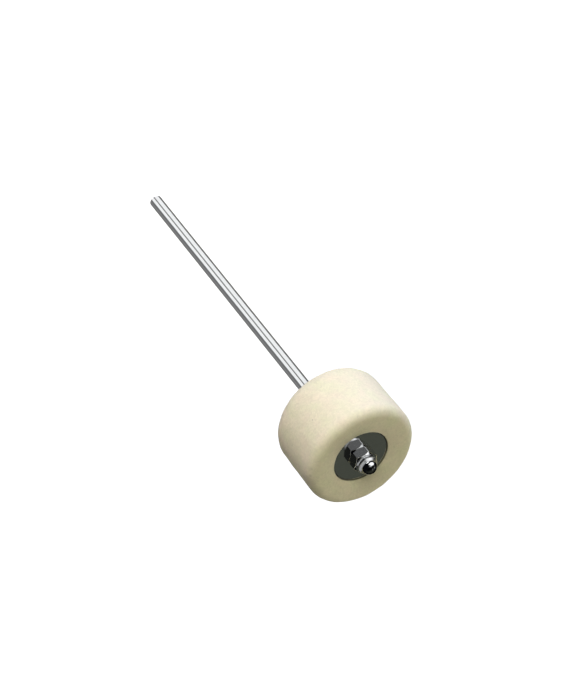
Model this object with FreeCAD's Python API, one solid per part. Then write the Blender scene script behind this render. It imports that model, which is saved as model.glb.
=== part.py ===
"""Bass drum beater: a pressed-felt head clamped between two washers on a chromed steel shaft.

Millimetres. +Z is up, along the shaft from its free end to the cap nut.
The origin is on the shaft's axis, at the low end of the plain wall that a pedal's hub clamps.
Every piece is built in its place.
"""
import FreeCAD
import Part
import math
import os

# Shaft: quarter-inch rod, chamfered at its free end, threaded through the head
shaft_diameter = 6.35
free_end_chamfer = 0.6
thread_pitch = 1.27
thread_relief = 0.055           # thread crest below the plain wall, on the radius
spare_thread = 7.0              # thread left bare below the rear nut
shaft_end_gap = 2.8             # shaft end to the inside of the cap nut's dome

# Felt head: rim planes are where its rounded ends reach furthest
head_height = 172.75            # rear rim plane above the origin
felt_length = 38.9              # between the rim planes
felt_diameter = 55.8            # at the front, the cap nut's end
felt_taper = 0.8                # by how much the rear diameter is smaller
felt_front_round = 4.8
felt_rear_round = 8.8
felt_bore_clearance = 0.3
felt_pocket_clearance = 0.35    # round each washer
felt_lip = 0.7                  # felt above each washer's face, at the washer's edge

# Washers: one pressed into each end of the head
washer_diameter = 28.6
washer_thickness = 1.6
washer_edge_round = 0.4
washer_bore_clearance = 0.4
washer_recess = 2.35            # outer face inside the felt's rim plane

# Hexagon nuts
nut_wall = 2.385                # bore to flat
nut_bore_clearance = 0.05       # bore to thread crest
nut_chamfer_angle = 45.0
nut_face_share = 0.97           # round end face, as a share of the width across flats
nut_edge_round = 0.25           # on the edges of the flats
nut_corner_angle = 48.0         # a corner of each nut, from +X
rear_nut_height = 4.0
cap_nut_height = 5.6            # hexagon only

# Cap nut's collar, which swells from the hexagon and slopes in to the stamped dome pressed into it
collar_height = 2.9             # above the hexagon
collar_wall = 0.75              # nut metal outside the dome, where the collar is widest
collar_belly = 1.7              # widest place above the hexagon
collar_curve = 3.2              # radius of the swell
collar_slope = 30.0             # of the top, from the axis
dome_height = 11.75             # top of the dome above the nut's base
dome_wall = 0.5
dome_thread_clearance = 0.38
dome_fit_clearance = 0.05
dome_seat = 0.7                 # dome's lower edge below the hexagon's top

# Thread proportions of the unified form
flank_angle = 30.0
thread_depth = 0.61343 * thread_pitch
crest_width = thread_pitch / 8
ridge_sink = 0.08               # ridge reaches this far into the core
longest_sweep = 12.0            # turns in one sweep of the ridge
join_tolerance = 0.002          # between the ends of neighbouring sweeps

# Radii
shaft_radius = shaft_diameter / 2
crest_radius = shaft_radius - thread_relief
root_radius = crest_radius - thread_depth
washer_radius = washer_diameter / 2
nut_bore_radius = crest_radius + nut_bore_clearance
nut_flat_radius = nut_bore_radius + nut_wall
dome_radius = crest_radius + dome_thread_clearance + dome_wall
collar_bore_radius = dome_radius + dome_fit_clearance
collar_radius = collar_bore_radius + collar_wall

# Heights
front_rim = head_height + felt_length
rear_washer_face = head_height + washer_recess
front_washer_face = front_rim - washer_recess
rear_seat = rear_washer_face + washer_thickness
front_seat = front_washer_face - washer_thickness
rear_nut_base = rear_washer_face - rear_nut_height
thread_start = rear_nut_base - spare_thread
hexagon_top = front_washer_face + cap_nut_height
collar_top = hexagon_top + collar_height
dome_base = hexagon_top - dome_seat
dome_top = front_washer_face + dome_height
shaft_end = dome_top - dome_wall - shaft_end_gap

AXIS_FOOT = FreeCAD.Vector(0, 0, 0)
AXIS = FreeCAD.Vector(0, 0, 1)


def at(radius, height):
    """Point of a profile, in the half plane that is turned about the axis."""
    return FreeCAD.Vector(radius, 0, height)


def line(start, end):
    return Part.LineSegment(start, end).toShape()


def corner_arc(centre, radius, start_angle, end_angle):
    """Arc in the profile's plane, its angles in degrees from outwards towards +Z."""
    points = []
    for angle in (start_angle, (start_angle + end_angle) / 2, end_angle):
        turn = math.radians(angle)
        points.append(centre + at(radius * math.cos(turn), radius * math.sin(turn)))
    return Part.Arc(*points).toShape()


def turned(edges):
    """Solid of revolution of a closed profile."""
    return Part.Face(Part.Wire(edges)).revolve(AXIS_FOOT, AXIS, 360)


def turned_polygon(points):
    return turned(Part.makePolygon(points + points[:1]).Edges)


def bored(solid, radius, bottom, top):
    """The solid with a round hole along the axis, open at both heights."""
    return solid.cut(Part.makeCylinder(radius, top - bottom, at(0, bottom)))


def thread_ridge():
    """Right-hand ridge of the thread, from inside the plain wall to past the shaft's end."""
    base_width = crest_width + 2 * (thread_depth + ridge_sink) * math.tan(math.radians(flank_angle))
    foot = root_radius - ridge_sink
    outline = [
        at(foot, -base_width / 2),
        at(crest_radius, -crest_width / 2),
        at(crest_radius, crest_width / 2),
        at(foot, base_width / 2),
    ]
    profile = Part.makePolygon(outline + outline[:1])
    low = thread_start - thread_pitch
    turns = (shaft_end + thread_pitch - low) / thread_pitch
    sweeps = math.ceil(turns / longest_sweep)
    sweep_turns = turns / sweeps
    ridges = []
    for index in range(sweeps):
        helix = Part.makeHelix(thread_pitch, thread_pitch * sweep_turns, root_radius)
        ridge = Part.Wire(helix).makePipeShell([profile], True, True)
        ridge.rotate(AXIS_FOOT, AXIS, 360 * sweep_turns * index)
        ridge.translate(at(0, low + thread_pitch * sweep_turns * index))
        ridges.append(ridge)
    return ridges


def make_shaft():
    run_out = shaft_radius - root_radius
    # The core is first made longer than the ridge, then both are cut off together
    core_end = shaft_end + 3 * thread_pitch
    shaft = turned_polygon([
        at(0, -free_end_chamfer),
        at(shaft_radius - free_end_chamfer, -free_end_chamfer),
        at(shaft_radius, 0),
        at(shaft_radius, thread_start),
        at(root_radius, thread_start + run_out),
        at(root_radius, core_end),
        at(0, core_end),
    ])
    for ridge in thread_ridge():
        shaft = shaft.fuse([ridge], join_tolerance)
    # A cone from outside the crest down to the root closes the thread at the shaft's end
    beyond = shaft_radius + thread_pitch
    waste = turned_polygon([
        at(0, shaft_end),
        at(root_radius, shaft_end),
        at(beyond, shaft_end - (beyond - root_radius)),
        at(beyond, core_end + thread_pitch),
        at(0, core_end + thread_pitch),
    ])
    return shaft.cut(waste)


def make_washer(inner_face, outer_face):
    """Flat washer with its outer face's edge rolled over."""
    out = math.copysign(1.0, outer_face - inner_face)
    bore = shaft_radius + washer_bore_clearance
    edge_centre = at(washer_radius - washer_edge_round, outer_face - out * washer_edge_round)
    return turned([
        line(at(bore, inner_face), at(washer_radius, inner_face)),
        line(at(washer_radius, inner_face), at(washer_radius, edge_centre.z)),
        corner_arc(edge_centre, washer_edge_round, 0, out * 90),
        line(at(edge_centre.x, outer_face), at(bore, outer_face)),
        line(at(bore, outer_face), at(bore, inner_face)),
    ])


def felt_end(rim, seat, outer_radius, end_round, out):
    """Edges of one end of the felt, from its bore to its side: seat, pocket wall, dish and rim."""
    bore = shaft_radius + felt_bore_clearance
    pocket = washer_radius + felt_pocket_clearance
    dish_depth = washer_recess - felt_lip
    crest = outer_radius - end_round
    lip = rim - out * dish_depth
    # The dish is one arc, level at the rim's crest
    dish_radius = ((crest - pocket) ** 2 + dish_depth ** 2) / (2 * dish_depth)
    dish_centre = at(crest, rim - out * dish_radius)
    dish_angle = math.degrees(math.asin((crest - pocket) / dish_radius))
    return [
        line(at(bore, seat), at(pocket, seat)),
        line(at(pocket, seat), at(pocket, lip)),
        corner_arc(dish_centre, dish_radius, out * (90 + dish_angle), out * 90),
        corner_arc(at(crest, rim - out * end_round), end_round, out * 90, 0),
    ]


def make_felt_head():
    bore = shaft_radius + felt_bore_clearance
    front_radius = felt_diameter / 2
    rear_radius = (felt_diameter - felt_taper) / 2
    rear = felt_end(head_height, rear_seat, rear_radius, felt_rear_round, -1)
    front = felt_end(front_rim, front_seat, front_radius, felt_front_round, 1)
    side = line(at(rear_radius, head_height + felt_rear_round), at(front_radius, front_rim - felt_front_round))
    bore_line = line(at(bore, rear_seat), at(bore, front_seat))
    return turned(Part.sortEdges(rear + front + [side, bore_line])[0])


def hexagon(base, height):
    """Hexagonal prism, its corners cut back to a round face at both ends and its flats' edges rounded."""
    corner_radius = nut_flat_radius / math.cos(math.radians(30))
    corners = []
    for index in range(6):
        turn = math.radians(nut_corner_angle + 60 * index)
        corners.append(FreeCAD.Vector(corner_radius * math.cos(turn), corner_radius * math.sin(turn), base))
    prism = Part.Face(Part.makePolygon(corners + corners[:1])).extrude(at(0, height))
    face_radius = nut_flat_radius * nut_face_share
    drop = (corner_radius - face_radius) * math.tan(math.radians(nut_chamfer_angle))
    top = base + height
    blank = turned_polygon([
        at(0, base),
        at(face_radius, base),
        at(corner_radius, base + drop),
        at(corner_radius, top - drop),
        at(face_radius, top),
        at(0, top),
    ])
    solid = prism.common(blank)
    # A cone's seam lies in one face only, and the circles are the edges of the round end faces
    flats_edges = [
        edge for edge in solid.Edges
        if len(solid.ancestorsOfType(edge, Part.Face)) == 2 and not isinstance(edge.Curve, Part.Circle)
    ]
    return solid.makeFillet(nut_edge_round, flats_edges)


def make_rear_nut():
    solid = hexagon(rear_nut_base, rear_nut_height)
    return bored(solid, nut_bore_radius, rear_nut_base, rear_washer_face)


def make_cap_nut():
    solid = hexagon(front_washer_face, cap_nut_height)
    widest = hexagon_top + collar_belly
    side_centre = at(collar_radius - collar_curve, widest)
    foot_angle = -math.degrees(math.asin(collar_belly / collar_curve))
    foot_radius = side_centre.x + collar_curve * math.cos(math.radians(foot_angle))
    top_radius = collar_radius - (collar_height - collar_belly) * math.tan(math.radians(collar_slope))
    # The collar's foot reaches down into the hexagon
    collar = turned([
        line(at(0, dome_base), at(foot_radius, dome_base)),
        line(at(foot_radius, dome_base), at(foot_radius, hexagon_top)),
        corner_arc(side_centre, collar_curve, foot_angle, 0),
        line(at(collar_radius, widest), at(top_radius, collar_top)),
        line(at(top_radius, collar_top), at(0, collar_top)),
        line(at(0, collar_top), at(0, dome_base)),
    ])
    solid = solid.fuse(collar)
    solid = bored(solid, nut_bore_radius, front_washer_face, dome_base)
    return bored(solid, collar_bore_radius, dome_base, collar_top)


def make_cap_nut_dome():
    """Cup of even wall: a straight skirt closed by half a ball."""
    inner_radius = dome_radius - dome_wall
    ball_centre = at(0, dome_top - dome_radius)
    return turned([
        line(at(inner_radius, dome_base), at(dome_radius, dome_base)),
        line(at(dome_radius, dome_base), at(dome_radius, ball_centre.z)),
        corner_arc(ball_centre, dome_radius, 0, 90),
        line(at(0, dome_top), at(0, dome_top - dome_wall)),
        corner_arc(ball_centre, inner_radius, 90, 0),
        line(at(inner_radius, ball_centre.z), at(inner_radius, dome_base)),
    ])


pieces = {
    "shaft": make_shaft(),
    "rear_nut": make_rear_nut(),
    "rear_washer": make_washer(rear_seat, rear_washer_face),
    "felt_head": make_felt_head(),
    "front_washer": make_washer(front_seat, front_washer_face),
    "cap_nut": make_cap_nut(),
    "cap_nut_dome": make_cap_nut_dome(),
}

os.makedirs("parts", exist_ok=True)
for name, shape in pieces.items():
    shape.exportStep(f"parts/{name}.step")
    print(name, "solids", len(shape.Solids), "valid", shape.isValid(), "volume", round(shape.Volume, 2))
print("plain wall", round(thread_start, 3), "overall", round(dome_top + free_end_chamfer, 3))
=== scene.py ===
"""Looks of the bass drum beater: felt, chrome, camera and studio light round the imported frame.

Metres. +Z runs up along the shaft to the cap nut. Directions round the object are given as the
camera's are: azimuth 0 looks along +Y, azimuth 90 along -X, and elevation is above the horizon.
"""
import bpy
import math
import numpy as np
from mathutils import Matrix, Vector, noise


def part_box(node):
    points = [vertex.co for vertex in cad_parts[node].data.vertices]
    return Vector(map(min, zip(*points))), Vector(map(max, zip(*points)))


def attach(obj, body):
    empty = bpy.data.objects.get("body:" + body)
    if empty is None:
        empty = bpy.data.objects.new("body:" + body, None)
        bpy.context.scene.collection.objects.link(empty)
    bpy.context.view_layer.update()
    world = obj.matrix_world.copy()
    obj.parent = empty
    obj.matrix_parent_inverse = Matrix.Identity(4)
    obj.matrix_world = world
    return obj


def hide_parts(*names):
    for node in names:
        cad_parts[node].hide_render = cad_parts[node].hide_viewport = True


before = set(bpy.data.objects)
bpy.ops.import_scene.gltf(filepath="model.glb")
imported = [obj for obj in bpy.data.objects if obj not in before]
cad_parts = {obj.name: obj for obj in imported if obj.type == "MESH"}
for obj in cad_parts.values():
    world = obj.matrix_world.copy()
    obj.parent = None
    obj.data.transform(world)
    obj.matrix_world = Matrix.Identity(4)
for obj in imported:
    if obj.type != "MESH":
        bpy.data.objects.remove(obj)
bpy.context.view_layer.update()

# Camera
IMAGE_HEIGHT = 700              # pixels, the image's long side
SENSOR_SIZE = 36.0              # millimetres, along the long side
FOCAL_LENGTH = 3301.1           # pixels
CAMERA_ELEVATION = 40.32        # degrees
CAMERA_TILT = 51.18             # degrees that the shaft's image falls below level, to the right
RIM_RIGHT = 0.03770             # metres from the camera to the centre of the felt's front rim
RIM_DOWN = 0.05049
RIM_AWAY = 1.52945

# Felt: what the frame's boxes don't give
FELT_TAPER = 0.0008             # by how much the rear diameter is smaller
FELT_FRONT_ROUND = 0.0048
FELT_REAR_ROUND = 0.0088
FELT_POCKET_CLEARANCE = 0.0001
FELT_LIP = 0.0007
FELT_BORE_CLEARANCE = 0.0003
FELT_CELL = 0.00038             # spacing of its mesh where it shows
FELT_COARSE_CELL = 0.002        # and inside its bore and on its seats
LUMP_SIZE = 0.006
LUMP_DEPTH = 0.00014
GRAIN_SIZE = 0.0011
GRAIN_DEPTH = 0.00006
# How the felt is out of round: towards which angle from +X, how far out, how narrow
FELT_SWELL = 0.0001
FELT_BULGES = [(195, 0.0006, 6), (45, 0.0001, 4), (315, -0.0005, 6)]

# Most values of a noise texture lie between these
NOISE_LOW = 0.3
NOISE_HIGH = 0.7

# Wool: its clouds' colours, how fine its patterns are, and how dark the painted shade in its pockets is
WOOL_STOPS = [
    (0.35, (0.88, 0.785, 0.60)),
    (0.5, (0.86, 0.79, 0.59)),
    (0.65, (0.845, 0.80, 0.575)),
]
WOOL_CLOUD_SCALE = 110.0
FIBRE_SCALE = 600.0
FIBRE_SHADES = (0.88, 1.08)
FIBRE_STRENGTH = 0.35
FIBRE_DEPTH = 0.00012
POCKET_SHADE = 0.25
# Marks in the wool, and painted shade on the front rim's +X side: place, radius, how much darker
FELT_MARKS_AND_SHADE = [
    ((0.00684, -0.02688, 0.19628), 0.00055, 0.45),
    ((0.02147, -0.01601, 0.20993), 0.0011, 0.12),
    ((0.02389, -0.01229, 0.20982), 0.0013, 0.12),
    # The last two are painted shade, on the front rim's +X side that faces away from the light
    ((0.0265, -0.0080, 0.2080), 0.006, 0.14),
    ((0.0262, -0.0010, 0.2098), 0.005, 0.14),
]
FELT_MARK_CORE = 0.4            # share of a mark's radius that is darkest all over

# Chrome: its colours, how fine its patterns are, and its polishing marks
SHAFT_COLOUR = (0.82, 0.83, 0.84)
WASHER_COLOUR = (0.78, 0.79, 0.79)
NUT_COLOUR = (0.80, 0.81, 0.82)
CHROME_CLOUD_SCALE = 350.0
CHROME_CLOUD_SHADE = 0.95
POLISH_SCALE = 2500.0
POLISH_STRETCH = 50             # of the marks that run along the shaft
POLISH_STRENGTH = 0.03
POLISH_DEPTH = 0.00005
# The cap nut's collar, above its hexagon, is duller than the rest
HEXAGON_HEIGHT = 0.0056
SATIN_FADE = 0.0003
SATIN_ROUGHNESS = 0.24
# How bright it is by distance from the axis: darker at the thread's roots, and painted shade at the
# washers' edges
ROOT_DARKENING_AND_EDGE_SHADE = [(0.0024, 0.35), (0.0030, 1.0), (0.0137, 1.0), (0.0141, 0.2)]
DARKENING_REACH = 0.016              # the distance at the end of its scale

# Floor and surroundings
WHITE = (1, 1, 1, 1)
BLACK = (0, 0, 0, 1)
FLOOR_HEIGHT = -0.9
FLOOR_SIZE = 40.0
FLOOR_COLOUR = (0.9, 0.9, 0.9, 1)
STUDIO_DARK = (0.004, 0.004, 0.005)
STUDIO_BACK = (0.069, 0.074, 0.059)     # high up at the back
STUDIO_BELOW = (0.2, 0.2, 0.2, 1)
# Where these blend, by the Z or Y of the direction looked in, as a unit vector
HIGH_FADE = (0.25, 0.6)
BACK_FADE = (-0.1, 0.6)
LOW_FADE = (-0.55, -0.35)

# How far from the head the soft boxes and panels stand, and the panels that cover others
BOX_DISTANCE = 1.2
FLAG_DISTANCE = 1.0

# Soft boxes that light the felt: name, azimuth, elevation, half angles across and up, radiance, colour
PINK = (0.85, 0.785, 0.87)
COOL = (0.71, 0.775, 1.02)
WARM = (1.0, 0.986, 0.789)
SOFT_BOXES = [
    ("top_left_box", 0, -15, 24, 20, 2.4, PINK),
    ("top_box", -45, -18, 24, 20, 2.4, COOL),
    ("top_right_box", -92, -14, 24, 20, 2.35, COOL),
    ("front_box", -12, 22, 22, 22, 2.6, WARM),
    ("back_box", 180, 20, 30, 20, 1.92, WARM),
    ("right_box", -95, 50, 25, 25, 0.62, WARM),
    ("left_box", 60, 10, 25, 25, 0.48, WARM),
    ("rear_box", 180, -40, 18, 18, 1.8, WARM),
]

# Panels that the chrome mirrors: name, radiance, distance, corners by azimuth and elevation
PANELS = [
    ("right_window", 1.3, BOX_DISTANCE,
     [(-13, 18), (-13, 43), (-74, 43), (-92, 28), (-92, 10), (-80, 1), (-52, 4), (-37, 10)]),
    ("right_window_top", 0.75, BOX_DISTANCE,
     [(-13, 43), (-16, 52), (-28, 63), (-48, 62), (-62, 50), (-74, 43)]),
    ("window_flag", 0.14, FLAG_DISTANCE, [(-13, 31), (-13, 49), (-33, 49), (-33, 31)]),
    ("front_card", 0.25, FLAG_DISTANCE, [(2, 44), (2, 58), (-13, 58), (-13, 44)]),
    ("front_window", 1.7, BOX_DISTANCE, [(3, -6), (3, -22), (-40, -22), (-36, -7), (-20, -3)]),
    ("back_window", 0.65, BOX_DISTANCE, [(-118, 32), (-118, 46), (-137, 46), (-137, 32)]),
    ("high_window", 0.3, BOX_DISTANCE, [(-127, 56), (-127, 70), (-175, 70), (-175, 56)]),
]
# The card that the cap nut alone mirrors, in its collar
COLLAR_CARD = ("collar_card", 1.1, BOX_DISTANCE,
               [(0, 24), (25, 23), (45, 20), (66, 15), (86, 9), (116, -3), (126, -8),
                (124, -14), (101, -6), (86, 0), (66, 6), (45, 11), (25, 14), (0, 15)])

# Level boards below the object: name, first and last azimuth, radiance
BOARDS = [
    ("side_board", -96, -25, 1.06),
    ("front_board", -6, 42, 1.06),
    ("left_strip", 90, 99, 0.35),
]
# Upright strips all round it: first and last azimuth
STRIPS = [(20, 50), (75, 120), (150, 165), (195, 240), (262, 280), (300, 345)]
STRIP_RADIANCE = 1.0
# The two edges of each board or strip: distance from the axis, height
BOARD_EDGES = ((0.4, -0.7), (2.2, -0.7))
LOW_STRIP_EDGES = ((0.5, -0.2), (0.5, 0.055))
HIGH_STRIP_EDGES = ((3.0, 0.3), (3.0, 4.0))
SECTOR_STEPS = 24

felt_low, felt_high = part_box("felt_head")
head_centre = (felt_low + felt_high) / 2


def direction(azimuth, elevation):
    """Unit vector from the object towards an azimuth and elevation in degrees."""
    turn = math.radians(azimuth)
    rise = math.radians(elevation)
    return Vector((math.sin(turn) * math.cos(rise), -math.cos(turn) * math.cos(rise), math.sin(rise)))


def place(name, data):
    made = bpy.data.objects.new(name, data)
    bpy.context.scene.collection.objects.link(made)
    return made


# Nodes

def add(tree, kind, **settings):
    """New node, with its inputs or properties set by name."""
    made = tree.nodes.new(kind)
    for key, value in settings.items():
        socket = made.inputs.get(key)
        if socket is None:
            setattr(made, key, value)
        else:
            socket.default_value = value
    return made


def new_material(name):
    """Node material: (material, its node tree, its Principled shader)."""
    material = bpy.data.materials.new(name)
    material.use_nodes = True
    tree = material.node_tree
    return material, tree, tree.nodes["Principled BSDF"]


def ramp(tree, factor, stops):
    """Colour ramp through (position, colour) stops, driven by the factor."""
    made = tree.nodes.new("ShaderNodeValToRGB")
    elements = made.color_ramp.elements
    while len(elements) < len(stops):
        elements.new(1.0)
    for element, (position, colour) in zip(elements, stops):
        element.position = position
        element.color = (*colour, 1.0)
    tree.links.new(factor, made.inputs["Fac"])
    return made.outputs["Color"]


def math_node(tree, operation, first, second):
    """Sum or product of two sockets."""
    made = add(tree, "ShaderNodeMath", operation=operation)
    tree.links.new(first, made.inputs[0])
    tree.links.new(second, made.inputs[1])
    return made.outputs["Value"]


def map_range(tree, value, start, end, low=0.0, high=1.0, interpolation="LINEAR"):
    """Socket that goes from low to high while the value goes from start to end."""
    made = add(tree, "ShaderNodeMapRange", interpolation_type=interpolation,
               **{"From Min": start, "From Max": end, "To Min": low, "To Max": high})
    tree.links.new(value, made.inputs["Value"])
    return made.outputs["Result"]


def bump(tree, height, strength, distance, surface):
    made = add(tree, "ShaderNodeBump", Strength=strength, Distance=distance)
    tree.links.new(height, made.inputs["Height"])
    tree.links.new(made.outputs["Normal"], surface.inputs["Normal"])


# Camera

def make_camera():
    elevation = math.radians(CAMERA_ELEVATION)
    tilt = math.radians(CAMERA_TILT)
    level = Vector((1, 0, 0))
    rising = Vector((0, math.sin(elevation), math.cos(elevation)))
    back = Vector((0, -math.cos(elevation), math.sin(elevation)))
    right = math.cos(tilt) * rising - math.sin(tilt) * level
    down = math.sin(tilt) * rising + math.cos(tilt) * level
    rim_centre = Vector((0, 0, felt_high.z))
    camera = place("camera", bpy.data.cameras.new("camera"))
    camera.data.sensor_width = SENSOR_SIZE
    camera.data.lens = FOCAL_LENGTH * SENSOR_SIZE / IMAGE_HEIGHT
    turn = Matrix((right, -down, back)).transposed().to_4x4()
    eye = rim_centre - RIM_RIGHT * right - RIM_DOWN * down + RIM_AWAY * back
    camera.matrix_world = Matrix.Translation(eye) @ turn
    bpy.context.scene.camera = camera


# Floor, world and lights

def make_floor():
    half = FLOOR_SIZE / 2
    mesh = bpy.data.meshes.new("floor")
    corners = [(-half, -half, FLOOR_HEIGHT), (half, -half, FLOOR_HEIGHT),
               (half, half, FLOOR_HEIGHT), (-half, half, FLOOR_HEIGHT)]
    mesh.from_pydata(corners, [], [(0, 1, 2, 3)])
    floor = place("floor", mesh)
    material, _, surface = new_material("floor_white")
    surface.inputs["Base Color"].default_value = FLOOR_COLOUR
    surface.inputs["Emission Color"].default_value = WHITE
    surface.inputs["Emission Strength"].default_value = 1.0
    mesh.materials.append(material)
    floor.visible_diffuse = False
    floor.visible_glossy = False
    floor.visible_shadow = False


def make_world():
    """White to the camera, and dark to the chrome, with grey high up at the back and far below."""
    world = bpy.data.worlds.new("studio")
    bpy.context.scene.world = world
    world.cycles_visibility.diffuse = False
    world.use_nodes = True
    tree = world.node_tree
    background = tree.nodes["Background"]
    out = tree.nodes["World Output"]
    where = add(tree, "ShaderNodeTexCoord")
    parts = add(tree, "ShaderNodeSeparateXYZ")
    tree.links.new(where.outputs["Generated"], parts.inputs["Vector"])
    high = map_range(tree, parts.outputs["Z"], *HIGH_FADE, interpolation="SMOOTHSTEP")
    behind = map_range(tree, parts.outputs["Y"], *BACK_FADE, interpolation="SMOOTHSTEP")
    high_behind = math_node(tree, "MULTIPLY", high, behind)
    upper = ramp(tree, high_behind, [(0.0, STUDIO_DARK), (1.0, STUDIO_BACK)])
    above = map_range(tree, parts.outputs["Z"], *LOW_FADE)
    shade = add(tree, "ShaderNodeMix", data_type="RGBA")
    tree.links.new(above, shade.inputs["Factor"])
    shade.inputs["A"].default_value = STUDIO_BELOW
    tree.links.new(upper, shade.inputs["B"])
    tree.links.new(shade.outputs["Result"], background.inputs["Color"])
    white = add(tree, "ShaderNodeBackground", Color=WHITE)
    path = add(tree, "ShaderNodeLightPath")
    mix = add(tree, "ShaderNodeMixShader")
    tree.links.new(path.outputs["Is Camera Ray"], mix.inputs["Fac"])
    tree.links.new(background.outputs["Background"], mix.inputs[1])
    tree.links.new(white.outputs["Background"], mix.inputs[2])
    tree.links.new(mix.outputs["Shader"], out.inputs["Surface"])


def facing_rotation(towards):
    """Rotation of a flat thing whose face looks back from that direction at the head."""
    return towards.to_track_quat("Z", "Y").to_euler()


def soft_box(name, azimuth, elevation, half_width, half_height, radiance, colour):
    """Area light that only the felt takes, given by its half angles and how bright its face is."""
    light = bpy.data.lights.new(name, "AREA")
    light.shape = "RECTANGLE"
    light.size = 2 * BOX_DISTANCE * math.tan(math.radians(half_width))
    light.size_y = 2 * BOX_DISTANCE * math.tan(math.radians(half_height))
    light.energy = radiance * math.pi * light.size * light.size_y
    light.color = colour
    lamp = place(name, light)
    towards = direction(azimuth, elevation)
    lamp.location = head_centre + BOX_DISTANCE * towards
    lamp.rotation_euler = facing_rotation(towards)
    lamp.visible_camera = False
    lamp.visible_glossy = False


def glow(name, mesh, radiance):
    """Marks a mesh as a bright surface that only the chrome sees."""
    board = place(name, mesh)
    material, _, surface = new_material(name)
    surface.inputs["Base Color"].default_value = BLACK
    surface.inputs["Emission Color"].default_value = WHITE
    surface.inputs["Emission Strength"].default_value = radiance
    mesh.materials.append(material)
    board.visible_camera = False
    board.visible_diffuse = False
    board.visible_shadow = False
    return board


def mirrored_panel(name, radiance, distance, corners):
    """Panel for the chrome to mirror, through corners given by azimuth and elevation."""
    rim = [direction(azimuth, elevation) for azimuth, elevation in corners]
    middle = sum(rim, Vector()).normalized()
    points = [head_centre + distance * towards for towards in [middle] + rim]
    count = len(rim)
    faces = [(0, i + 1, (i + 1) % count + 1) for i in range(count)]
    mesh = bpy.data.meshes.new(name)
    mesh.from_pydata(points, [], faces)
    return glow(name, mesh, radiance)


def mirrored_sector(name, start, end, radiance, edges):
    """Sector round the axis between two azimuths, for the chrome to mirror."""
    corners = []
    for radius, height in edges:
        for index in range(SECTOR_STEPS + 1):
            angle = start + (end - start) * index / SECTOR_STEPS
            corners.append(direction(angle, 0) * radius + Vector((0, 0, height)))
    row = SECTOR_STEPS + 1
    faces = [(i, i + row, i + row + 1, i + 1) for i in range(SECTOR_STEPS)]
    mesh = bpy.data.meshes.new(name)
    mesh.from_pydata(corners, [], faces)
    return glow(name, mesh, radiance)


def keep_for(node, board):
    """Lets one piece alone mirror a bright surface, which is clear to the others."""
    mirrors = bpy.data.collections.new(f"{board.name}_mirrors")
    mirrors.objects.link(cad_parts[node])
    board.light_linking.receiver_collection = mirrors
    tree = board.data.materials[0].node_tree
    surface = tree.nodes["Principled BSDF"]
    surface.inputs["Specular IOR Level"].default_value = 0.0
    clear = add(tree, "ShaderNodeBsdfTransparent")
    both = add(tree, "ShaderNodeAddShader")
    tree.links.new(clear.outputs["BSDF"], both.inputs[0])
    tree.links.new(surface.outputs["BSDF"], both.inputs[1])
    tree.links.new(both.outputs["Shader"], tree.nodes["Material Output"].inputs["Surface"])


def make_lights():
    for box in SOFT_BOXES:
        soft_box(*box)
    for panel in PANELS:
        mirrored_panel(*panel)
    keep_for("cap_nut", mirrored_panel(*COLLAR_CARD))
    for board in BOARDS:
        mirrored_sector(*board, BOARD_EDGES)
    # The felt hides the low strips from the cap nut, and the high ones are the shaft's alone
    for index, (first, last) in enumerate(STRIPS):
        mirrored_sector(f"low_strip_{index}", first, last, STRIP_RADIANCE, LOW_STRIP_EDGES)
        high_strip = mirrored_sector(f"high_strip_{index}", first, last, STRIP_RADIANCE, HIGH_STRIP_EDGES)
        keep_for("shaft", high_strip)


# Materials

def axis_distance(tree, where):
    """Distance from the shaft's axis, as a socket."""
    flat = add(tree, "ShaderNodeVectorMath", operation="MULTIPLY")
    flat.inputs[1].default_value = (1, 1, 0)
    tree.links.new(where.outputs["Object"], flat.inputs[0])
    length = add(tree, "ShaderNodeVectorMath", operation="LENGTH")
    tree.links.new(flat.outputs["Vector"], length.inputs[0])
    return length.outputs["Value"]


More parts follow.
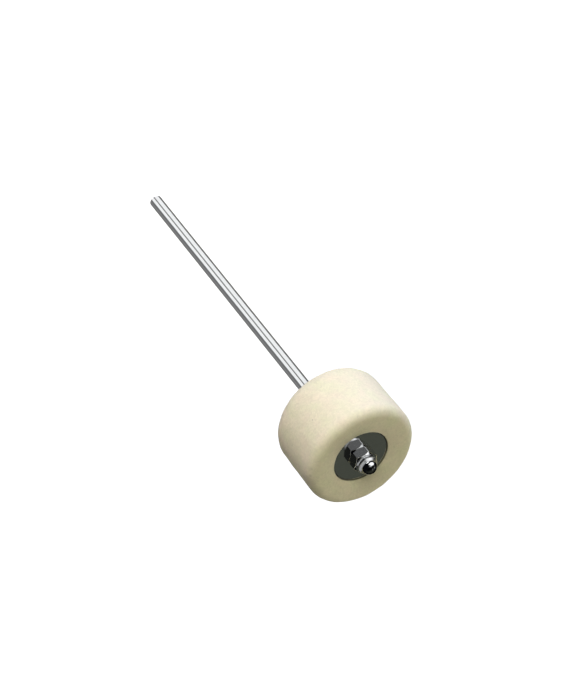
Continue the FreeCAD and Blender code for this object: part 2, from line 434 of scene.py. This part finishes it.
def chrome(name, colour, roughness, marks, satin_height=1.0):
    """Chrome plate with polishing marks that run along the shaft, round it, or any way.

    Above the satin height it is duller. By default that is higher than the object.
    """
    material, tree, surface = new_material(name)
    surface.inputs["Metallic"].default_value = 1.0
    where = add(tree, "ShaderNodeTexCoord")
    lines = add(tree, "ShaderNodeTexNoise", Scale=POLISH_SCALE, Detail=3.0)
    if marks == "round":
        lines.noise_dimensions = "1D"
        tree.links.new(axis_distance(tree, where), lines.inputs["W"])
    else:
        stretch = add(tree, "ShaderNodeMapping")
        stretch.inputs["Scale"].default_value = (1, 1, 1 / POLISH_STRETCH if marks == "along" else 1)
        tree.links.new(where.outputs["Object"], stretch.inputs["Vector"])
        tree.links.new(stretch.outputs["Vector"], lines.inputs["Vector"])
    cloud = add(tree, "ShaderNodeTexNoise", Scale=CHROME_CLOUD_SCALE, Detail=4.0)
    tree.links.new(where.outputs["Object"], cloud.inputs["Vector"])
    darker = [CHROME_CLOUD_SHADE * channel for channel in colour]
    tone = ramp(tree, cloud.outputs["Fac"], [(NOISE_LOW, darker), (NOISE_HIGH, colour)])
    # By distance from the axis: darker at the thread's roots, and painted shade at the washers' edges
    reach = add(tree, "ShaderNodeMath", operation="DIVIDE")
    reach.inputs[1].default_value = DARKENING_REACH
    tree.links.new(axis_distance(tree, where), reach.inputs[0])
    stops = [(radius / DARKENING_REACH, [brightness] * 3) for radius, brightness in ROOT_DARKENING_AND_EDGE_SHADE]
    root_and_edge_shade = ramp(tree, reach.outputs["Value"], stops)
    shaded = add(tree, "ShaderNodeVectorMath", operation="MULTIPLY")
    tree.links.new(tone, shaded.inputs[0])
    tree.links.new(root_and_edge_shade, shaded.inputs[1])
    tree.links.new(shaded.outputs["Vector"], surface.inputs["Base Color"])
    rough = map_range(tree, cloud.outputs["Fac"], 0, 1, roughness, 2 * roughness)
    height = add(tree, "ShaderNodeSeparateXYZ")
    tree.links.new(where.outputs["Object"], height.inputs["Vector"])
    satin_full = satin_height + SATIN_FADE
    dull = map_range(tree, height.outputs["Z"], satin_height, satin_full, 0, SATIN_ROUGHNESS)
    tree.links.new(math_node(tree, "ADD", rough, dull), surface.inputs["Roughness"])
    bump(tree, lines.outputs["Fac"], POLISH_STRENGTH, POLISH_DEPTH, surface)
    return material


def felt_material():
    """Cream wool: faint warm and green clouds, a fine fleck and a few dark marks, with painted shade in
    the pockets and on the front rim's +X side.
    """
    material, tree, surface = new_material("felt")
    surface.inputs["Roughness"].default_value = 0.95
    surface.inputs["Specular IOR Level"].default_value = 0.15
    surface.inputs["Sheen Weight"].default_value = 0.15
    surface.inputs["Sheen Roughness"].default_value = 0.6
    where = add(tree, "ShaderNodeTexCoord")
    cloud = add(tree, "ShaderNodeTexNoise", Scale=WOOL_CLOUD_SCALE, Detail=3.0)
    tree.links.new(where.outputs["Object"], cloud.inputs["Vector"])
    tone = ramp(tree, cloud.outputs["Fac"], WOOL_STOPS)
    fibre = add(tree, "ShaderNodeTexNoise", Scale=FIBRE_SCALE, Detail=6.0, Roughness=0.75, Distortion=1.2)
    tree.links.new(where.outputs["Object"], fibre.inputs["Vector"])
    factor = map_range(tree, fibre.outputs["Fac"], NOISE_LOW, NOISE_HIGH, *FIBRE_SHADES)
    # Dark marks in the wool, and painted shade on the front rim's +X side
    for centre, radius, strength in FELT_MARKS_AND_SHADE:
        gap = add(tree, "ShaderNodeVectorMath", operation="DISTANCE")
        gap.inputs[1].default_value = centre
        tree.links.new(where.outputs["Object"], gap.inputs[0])
        fade = map_range(tree, gap.outputs["Value"], FELT_MARK_CORE * radius, radius, 1 - strength, 1,
                         "SMOOTHSTEP")
        factor = math_node(tree, "MULTIPLY", factor, fade)
    # Painted shade on the felt inside its pockets and bore
    inside = add(tree, "ShaderNodeAttribute", attribute_name="inside")
    dim = map_range(tree, inside.outputs["Fac"], 0, 1, 1, POCKET_SHADE)
    shaded = add(tree, "ShaderNodeVectorMath", operation="SCALE")
    tree.links.new(tone, shaded.inputs[0])
    tree.links.new(math_node(tree, "MULTIPLY", factor, dim), shaded.inputs["Scale"])
    tree.links.new(shaded.outputs["Vector"], surface.inputs["Base Color"])
    bump(tree, fibre.outputs["Fac"], FIBRE_STRENGTH, FIBRE_DEPTH, surface)
    return material


# Felt

def arc(centre, radius, start, end):
    """Points on an arc in the profile's half plane, about one mesh cell apart, both ends included."""
    count = max(2, round(abs(end - start) * radius / FELT_CELL))
    turns = np.linspace(start, end, count + 1)
    return [(centre[0] + radius * math.cos(turn), centre[1] + radius * math.sin(turn)) for turn in turns]


def straight(start, end, cell):
    """Points on a straight line, about one cell apart, both ends included."""
    count = max(1, round(math.dist(start, end) / cell))
    span = np.subtract(end, start)
    return [tuple(np.add(start, np.multiply(span, index / count))) for index in range(count + 1)]


def pocket_radius():
    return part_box("front_washer")[1].x + FELT_POCKET_CLEARANCE


def bore_radius():
    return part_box("shaft")[1].x + FELT_BORE_CLEARANCE


def felt_end(rim, seat, lip, crest, end_round, out):
    """Profile of one end, from its bore to its side: seat, pocket wall, dish and rounded rim."""
    pocket = pocket_radius()
    depth = abs(rim - lip)
    dish_radius = ((crest - pocket) ** 2 + depth ** 2) / (2 * depth)
    dish_centre = (crest, rim - out * dish_radius)
    reach = math.asin((crest - pocket) / dish_radius)
    quarter = math.pi / 2
    rows = [
        straight((bore_radius(), seat), (pocket, seat), FELT_COARSE_CELL),
        straight((pocket, seat), (pocket, lip), FELT_CELL),
        arc(dish_centre, dish_radius, out * (quarter + reach), out * quarter),
        arc((crest, rim - out * end_round), end_round, out * quarter, 0),
    ]
    inside = [1.0] * (len(rows[0]) + len(rows[1]) - 2)
    points = [point for row in rows for point in row[:-1]] + rows[-1][-1:]
    return points, inside + [0.0] * (len(points) - len(inside))


def felt_profile():
    """Closed profile of the felt, and for each point whether it lies inside a pocket or the bore."""
    front_radius = felt_high.x
    rear_radius = front_radius - FELT_TAPER / 2
    front_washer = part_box("front_washer")
    rear_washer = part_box("rear_washer")
    front, front_inside = felt_end(felt_high.z, front_washer[0].z, front_washer[1].z + FELT_LIP,
                                   front_radius - FELT_FRONT_ROUND, FELT_FRONT_ROUND, 1)
    rear, rear_inside = felt_end(felt_low.z, rear_washer[1].z, rear_washer[0].z - FELT_LIP,
                                 rear_radius - FELT_REAR_ROUND, FELT_REAR_ROUND, -1)
    side = straight(front[-1], rear[-1], FELT_CELL)[1:-1]
    bore = straight(rear[0], front[0], FELT_COARSE_CELL)[1:-1]
    points = front + side + rear[::-1] + bore
    inside = front_inside + [0.0] * len(side) + rear_inside[::-1] + [1.0] * len(bore)
    return np.array(points), np.array(inside)


def outer_share(outline, inside):
    """How far each profile point takes part in the felt's being out of round: none at its pockets."""
    crest = felt_high.x - FELT_FRONT_ROUND
    return np.interp(outline[:, 0], [pocket_radius(), crest], [0.0, 1.0]) * (1 - inside)


def out_of_round(turns):
    """Radial departure from a circle, by angle."""
    offset = np.full(len(turns), FELT_SWELL)
    for angle, height, power in FELT_BULGES:
        offset += height * ((1 + np.cos(turns - math.radians(angle))) / 2) ** power
    return offset


def felt_relief(point):
    """Height of the felt's surface over its plain form: soft lumps and a fine grain."""
    lump = noise.noise(point / LUMP_SIZE)
    grain = noise.noise(point / GRAIN_SIZE)
    return LUMP_DEPTH * lump + GRAIN_DEPTH * grain


def make_felt():
    """The felt: its profile turned about the axis, out of round and with its relief."""
    outline, inside = felt_profile()
    spokes = round(2 * math.pi * outline[:, 0].max() / FELT_CELL)
    turns = 2 * math.pi * np.arange(spokes) / spokes
    count = len(outline)
    around = np.roll(outline, -1, 0) - np.roll(outline, 1, 0)
    around /= np.linalg.norm(around, axis=1)[:, None]
    outward = np.stack([-around[:, 1], around[:, 0]], 1)
    radii = outline[:, 0] + out_of_round(turns)[:, None] * outer_share(outline, inside)
    cosine = np.cos(turns)[:, None]
    sine = np.sin(turns)[:, None]
    each_spoke = np.ones_like(cosine)
    points = np.stack([cosine * radii, sine * radii, each_spoke * outline[:, 1]], 2)
    normals = np.stack([cosine * outward[:, 0], sine * outward[:, 0], each_spoke * outward[:, 1]], 2)
    points = points.reshape(-1, 3)
    relief = np.array([felt_relief(Vector(point)) for point in points])
    relief *= 1 - np.tile(inside, spokes)
    points += normals.reshape(-1, 3) * relief[:, None]
    faces = []
    for spoke in range(spokes):
        here = spoke * count
        there = (spoke + 1) % spokes * count
        for step in range(count):
            after = (step + 1) % count
            faces.append((here + step, here + after, there + after, there + step))
    mesh = bpy.data.meshes.new("felt")
    mesh.from_pydata(points.tolist(), [], faces)
    mesh.polygons.foreach_set("use_smooth", [True] * len(faces))
    mesh.attributes.new("inside", "FLOAT", "POINT").data.foreach_set("value", np.tile(inside, spokes))
    mesh.materials.append(felt_material())
    felt = place("felt", mesh)
    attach(felt, "head")
    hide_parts("felt_head")


# Metal

def dress_metal():
    collar_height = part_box("cap_nut")[0].z + HEXAGON_HEIGHT
    finishes = {
        "shaft": chrome("shaft_chrome", SHAFT_COLOUR, roughness=0.03, marks="along"),
        "front_washer": chrome("washer_chrome", WASHER_COLOUR, roughness=0.02, marks="round"),
        "cap_nut": chrome("collar_nut_chrome", NUT_COLOUR, roughness=0.04, marks="any",
                          satin_height=collar_height),
        "cap_nut_dome": chrome("nut_chrome", NUT_COLOUR, roughness=0.03, marks="any"),
    }
    finishes["rear_washer"] = finishes["front_washer"]
    finishes["rear_nut"] = finishes["cap_nut_dome"]
    for name, material in finishes.items():
        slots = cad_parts[name].data.materials
        slots.clear()
        slots.append(material)


bpy.context.scene.view_settings.view_transform = "Standard"
make_camera()
make_floor()
make_world()
make_lights()
dress_metal()
make_felt()
